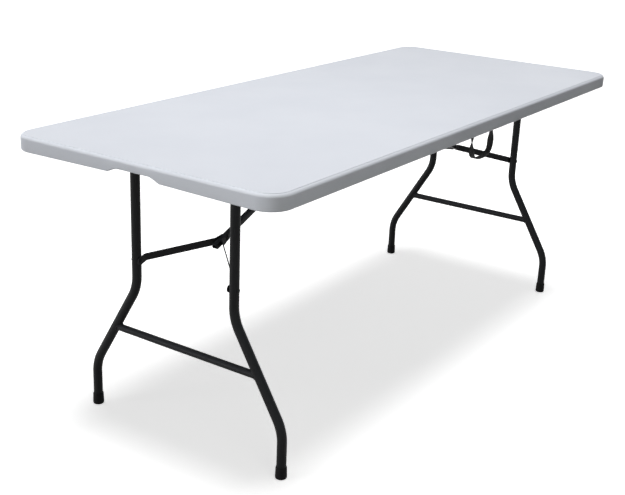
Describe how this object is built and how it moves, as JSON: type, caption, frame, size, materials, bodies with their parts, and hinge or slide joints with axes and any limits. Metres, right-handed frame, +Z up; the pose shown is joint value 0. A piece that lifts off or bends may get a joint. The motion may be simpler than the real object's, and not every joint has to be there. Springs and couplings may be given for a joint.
{
  "type": "folding banquet table",
  "caption": "Long rectangular folding table: a white moulded top with rounded corners on black steel leg frames that fold flat, with jointed braces and a carrying strap.",
  "frame": {"origin": "on the floor under the middle of the top", "axes": "+X along the length, +Y across the width towards the side without the strap, +Z up"},
  "size_m": [1.83, 0.762, 0.737],
  "materials": {
    "white_plastic": "fine-grained moulded plastic, off white",
    "black_paint": "satin black powder coat",
    "black_rubber": "matt black moulded cap",
    "zinc_steel": "zinc-plated steel",
    "black_webbing": "woven black webbing"
  },
  "bodies": {
    "table": {"tabletop": "white_plastic", "carry_strap": "black_webbing", "strap_screw_left": "zinc_steel", "strap_screw_right": "zinc_steel", "left_front_pivot_bracket": "zinc_steel", "left_front_pivot_screw_1": "zinc_steel", "left_front_pivot_screw_2": "zinc_steel", "left_front_arm_screw": "zinc_steel", "left_rear_pivot_bracket": "zinc_steel", "left_rear_pivot_screw_1": "zinc_steel", "left_rear_pivot_screw_2": "zinc_steel", "left_rear_arm_screw": "zinc_steel", "left_arm_bracket": "zinc_steel", "left_arm_pin": "zinc_steel", "right_front_pivot_bracket": "zinc_steel", "right_front_pivot_screw_1": "zinc_steel", "right_front_pivot_screw_2": "zinc_steel", "right_front_arm_screw": "zinc_steel", "right_rear_pivot_bracket": "zinc_steel", "right_rear_pivot_screw_1": "zinc_steel", "right_rear_pivot_screw_2": "zinc_steel", "right_rear_arm_screw": "zinc_steel", "right_arm_bracket": "zinc_steel", "right_arm_pin": "zinc_steel"},
    "left_leg_frame": {"left_pivot_tube": "black_paint", "left_crossbar": "black_paint", "left_front_leg": "black_paint", "left_front_foot": "black_rubber", "left_front_leg_rivet": "black_paint", "left_rear_leg": "black_paint", "left_rear_foot": "black_rubber", "left_rear_leg_rivet": "black_paint"},
    "left_struts": {"left_front_strut": "black_paint", "left_front_joint_rivet": "black_paint", "left_rear_strut": "black_paint", "left_rear_joint_rivet": "black_paint"},
    "left_arm": {"left_brace_arm": "black_paint", "left_brace_bush": "zinc_steel"},
    "right_leg_frame": {"right_pivot_tube": "black_paint", "right_crossbar": "black_paint", "right_front_leg": "black_paint", "right_front_foot": "black_rubber", "right_front_leg_rivet": "black_paint", "right_rear_leg": "black_paint", "right_rear_foot": "black_rubber", "right_rear_leg_rivet": "black_paint"},
    "right_struts": {"right_front_strut": "black_paint", "right_front_joint_rivet": "black_paint", "right_rear_strut": "black_paint", "right_rear_joint_rivet": "black_paint"},
    "right_arm": {"right_brace_arm": "black_paint", "right_brace_bush": "zinc_steel"}
  },
  "joints": [
    {"name": "left_leg_fold", "type": "hinge", "parent": "table", "child": "left_leg_frame", "pos_m": [-0.748, 0, 0.696], "axis": [0, -1, 0], "range_deg": [0, 90]},
    {"name": "left_strut_swing", "type": "hinge", "parent": "left_leg_frame", "child": "left_struts", "pos_m": [-0.748, 0, 0.433], "axis": [0, -1, 0], "range_deg": [0, 64.78]},
    {"name": "left_arm_swing", "type": "hinge", "parent": "table", "child": "left_arm", "pos_m": [-0.04288, 0, 0.7125], "axis": [0, 1, 0], "range_deg": [0, 22.25]},
    {"name": "right_leg_fold", "type": "hinge", "parent": "table", "child": "right_leg_frame", "pos_m": [0.748, 0, 0.696], "axis": [0, 1, 0], "range_deg": [0, 90]},
    {"name": "right_strut_swing", "type": "hinge", "parent": "right_leg_frame", "child": "right_struts", "pos_m": [0.748, 0, 0.433], "axis": [0, 1, 0], "range_deg": [0, 64.78]},
    {"name": "right_arm_swing", "type": "hinge", "parent": "table", "child": "right_arm", "pos_m": [0.04288, 0, 0.7125], "axis": [0, -1, 0], "range_deg": [0, 22.25]}
  ],
  "couplings": [
    {"joint": "left_strut_swing", "follows": "left_leg_fold", "ratio": 0.7198},
    {"joint": "left_arm_swing", "follows": "left_leg_fold", "ratio": 0.24722},
    {"joint": "right_strut_swing", "follows": "right_leg_fold", "ratio": 0.7198},
    {"joint": "right_arm_swing", "follows": "right_leg_fold", "ratio": 0.24722}
  ]
}
